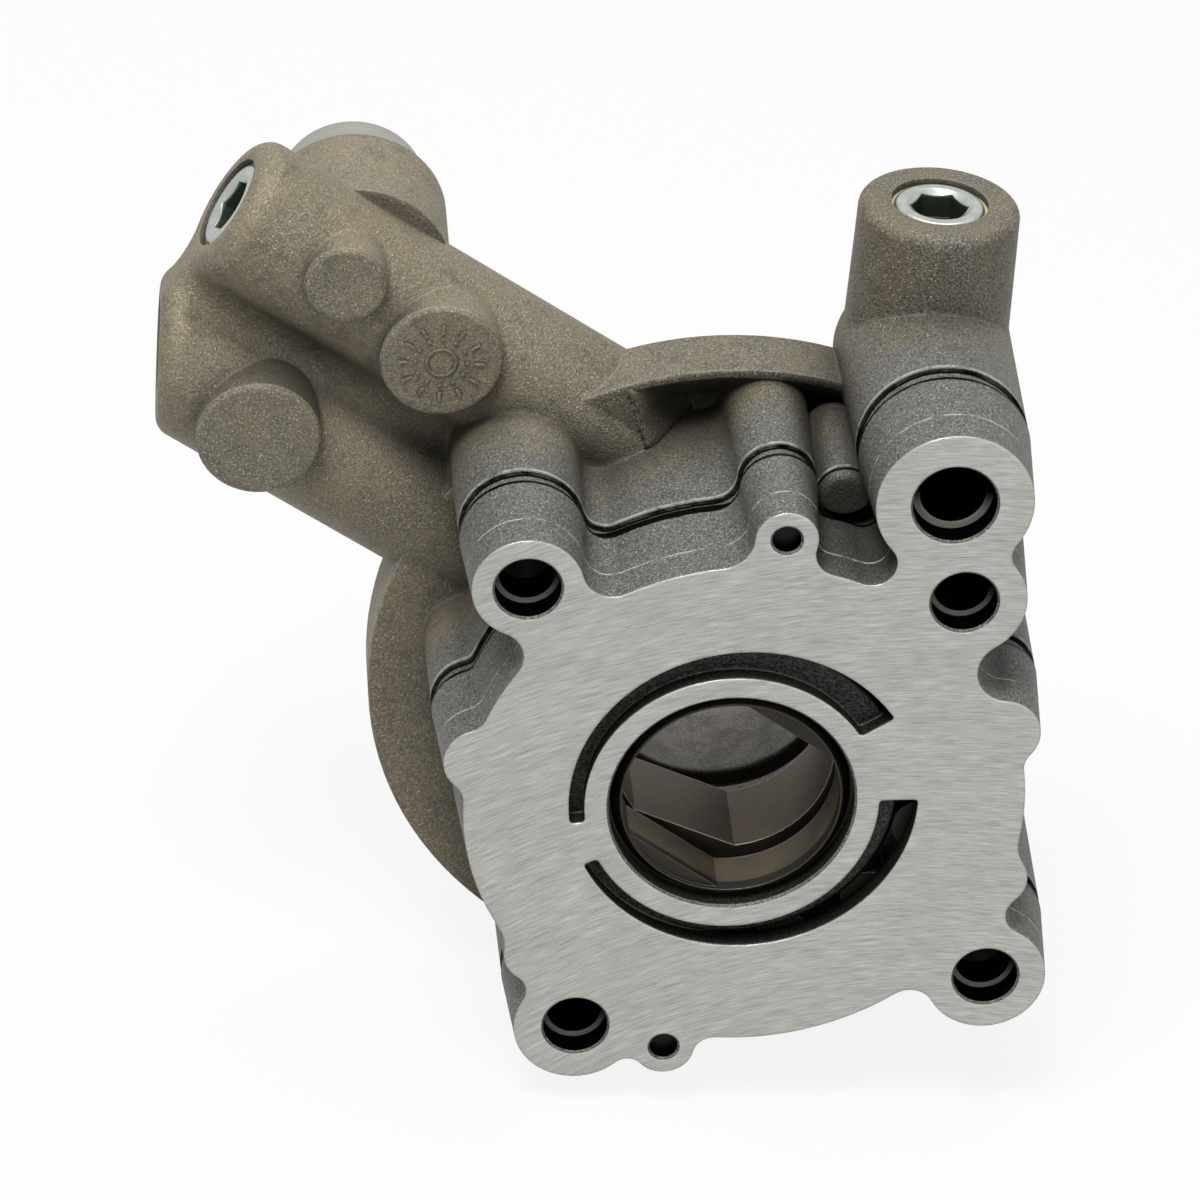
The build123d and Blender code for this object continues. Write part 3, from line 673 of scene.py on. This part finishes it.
def ramp_front(depths):
    """Depths of the ramp's front: level with the arm at the step, sunk into the dish beyond."""
    front = {}
    for spot, depth in depths.items():
        x, z = grid_place(spot)
        up = (z - STEP_FOOT[1]) / (STEP_TOP[1] - STEP_FOOT[1])
        step_x = STEP_FOOT[0] + (STEP_TOP[0] - STEP_FOOT[0]) * up
        in_dish = depth > DISH_EDGE_DEPTH and hypot(x, z) < DISH_RADIUS
        if not in_dish or x < step_x - RAMP_PITCH:
            continue
        on_arm = (round((step_x - ARM_SIDE - RAMP_X[0]) / RAMP_PITCH), spot[1])
        level = min(depths.get(on_arm, ARM_LEVEL), ARM_LEVEL) + RAMP_LIP
        length = FOOT_LENGTH + (TOP_LENGTH - FOOT_LENGTH) * up
        share = 1.0 - eased(x - step_x, RAMP_START, length)
        floor = max(depths.get(other, depth) for other in spots_round(spot, FLOOR_REACH))
        front[spot] = level * share + (floor + RAMP_SINK) * (1.0 - share)
    return front


def into_walls(front, depths):
    """Front carried one step into the walls beside it, so that no slit is left."""
    carried = dict(front)
    for spot in depths:
        beside = [front[other] for other in spots_round(spot, (-1, 0, 1)) if other in front]
        if spot not in front and beside:
            carried[spot] = sum(beside) / len(beside)
    return carried


def closed_mesh(name, front, under, wanted):
    """Closed mesh between two levels of the grid, for the cells with a wanted spot."""
    shape = bmesh.new()
    levels = {"front": front, "under": under}
    corners = {}

    def corner(spot, layer):
        if (spot, layer) not in corners:
            x, z = grid_place(spot)
            place = (x * MM, levels[layer][spot] * MM, z * MM)
            corners[spot, layer] = shape.verts.new(place)
        return corners[spot, layer]

    for i, j in GRID:
        cell = [(i, j), (i + 1, j), (i + 1, j + 1), (i, j + 1)]
        if all(spot in front for spot in cell) and any(spot in wanted for spot in cell):
            shape.faces.new([corner(spot, "front") for spot in cell])
            shape.faces.new([corner(spot, "under") for spot in reversed(cell)])
    for spot in [spot for spot, layer in corners if layer == "front"]:
        for other in ((spot[0] + 1, spot[1]), (spot[0], spot[1] + 1)):
            if (other, "front") not in corners:
                continue
            ends = corners[spot, "front"], corners[other, "front"]
            edge = shape.edges.get(ends)
            if edge is not None and len(edge.link_faces) == 1:
                shape.faces.new([*ends, corners[other, "under"], corners[spot, "under"]])
    bmesh.ops.recalc_face_normals(shape, faces=shape.faces)
    mesh = bpy.data.meshes.new(name)
    shape.to_mesh(mesh)
    shape.free()
    for face in mesh.polygons:
        face.use_smooth = True
    return mesh


def make_arm_ramp(material):
    """Cast ramp from the root of the arm down into the dish, closed, on the body's own front."""
    depths = front_depths(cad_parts["pump_body"])
    front = ramp_front(depths)
    proud = {spot for spot in front if front[spot] < depths[spot]}
    front = into_walls(front, depths)
    under = {spot: max(front[spot], depths[spot]) + RAMP_UNDER for spot in front}
    mesh = closed_mesh("arm_root_ramp", front, under, proud)
    mesh.materials.append(material)
    ramp = new_object("arm_root_ramp", mesh)
    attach(ramp, "housing")


make_arm_ramp(body_cast)


# Studio, in metres and watts. The camera's place and axes were solved from the bolt holes and
# the shaft bore in the photograph.
CAMERA_PLACE = (-0.083111, -0.611645, 0.402017)
CAMERA_AXES = ((0.99535, -0.06168, 0.07397),
               (-0.03070, 0.52478, 0.85068),
               (-0.09128, -0.84900, 0.52045))
CAMERA_LENS = 191.01
CAMERA_SENSOR = 36.0
CAMERA_CLIP = (0.05, 50.0)
WHITE = (1.0, 1.0, 1.0, 1.0)
FLOOR_SIZE = 3.0
FLOOR_PAINT = (0.60, 0.60, 0.60, 1.0)
FLOOR_GLOW = 0.88
WORLD_LIGHT = 0.24
LAMP_AIM = (-0.02, 0.02, 0.01)
LAMPS = {
    "key_lamp": {"place": (-0.26, -0.36, 1.1), "size": 0.5, "power": 17.5},
    "fill_lamp": {"place": (0.6, -0.9, 0.35), "size": 0.6, "power": 1.8},
    "top_lamp": {"place": (0.1, 0.4, 1.1), "size": 0.6, "power": 4.0},
}


def place_camera():
    """Camera at the photograph's angle."""
    data = bpy.data.cameras.new("camera")
    data.sensor_width = CAMERA_SENSOR
    data.lens = CAMERA_LENS
    data.clip_start, data.clip_end = CAMERA_CLIP
    camera = new_object("camera", data)
    turn = Matrix(CAMERA_AXES).transposed().to_4x4()
    camera.matrix_world = Matrix.Translation(CAMERA_PLACE) @ turn
    bpy.context.scene.camera = camera


def seen_directly(field):
    """1 for what the camera sees, itself or in gloss or through glass."""
    rays = ("Is Camera Ray", "Is Glossy Ray", "Is Transmission Ray")
    return union([field.node("ShaderNodeLightPath", output=ray) for ray in rays])


def place_floor():
    """Plain white floor that keeps the pump's shadow."""
    level = cad_box[0][2]
    mesh = bpy.data.meshes.new("floor")
    corners = [(x * FLOOR_SIZE, y * FLOOR_SIZE, level)
               for x, y in ((-1, -1), (1, -1), (1, 1), (-1, 1))]
    mesh.from_pydata(corners, [], [(0, 1, 2, 3)])
    floor = new_object("floor", mesh)
    material = bpy.data.materials.new("floor_white")
    field = bare_tree(material)
    paint = field.node("ShaderNodeBsdfDiffuse", sockets={"Color": FLOOR_PAINT})
    glow = field.node("ShaderNodeEmission", sockets={"Color": WHITE, "Strength": 1.0})
    mix = field.node("ShaderNodeMixShader", sockets={
        0: seen_directly(field) * FLOOR_GLOW, 1: paint, 2: glow})
    field.node("ShaderNodeOutputMaterial", sockets={"Surface": mix})
    mesh.materials.append(material)


def place_lamp(name, place, size, power):
    """Square soft lamp that points at the pump."""
    data = bpy.data.lights.new(name, "AREA")
    data.size = size
    data.energy = power
    turn = (Vector(LAMP_AIM) - Vector(place)).to_track_quat("-Z", "Y").to_matrix().to_4x4()
    new_object(name, data).matrix_world = Matrix.Translation(place) @ turn


def place_world():
    """World that shows white and gives the pump an even, low light."""
    world = bpy.data.worlds.new("studio")
    field = bare_tree(world)
    level = seen_directly(field) * (1.0 - WORLD_LIGHT) + WORLD_LIGHT
    backdrop = field.node("ShaderNodeBackground", sockets={"Color": WHITE, "Strength": level})
    field.node("ShaderNodeOutputWorld", sockets={"Surface": backdrop})
    bpy.context.scene.world = world


place_camera()
place_floor()
place_world()
for lamp, how in LAMPS.items():
    place_lamp(lamp, **how)

bpy.context.scene.view_settings.view_transform = "Standard"
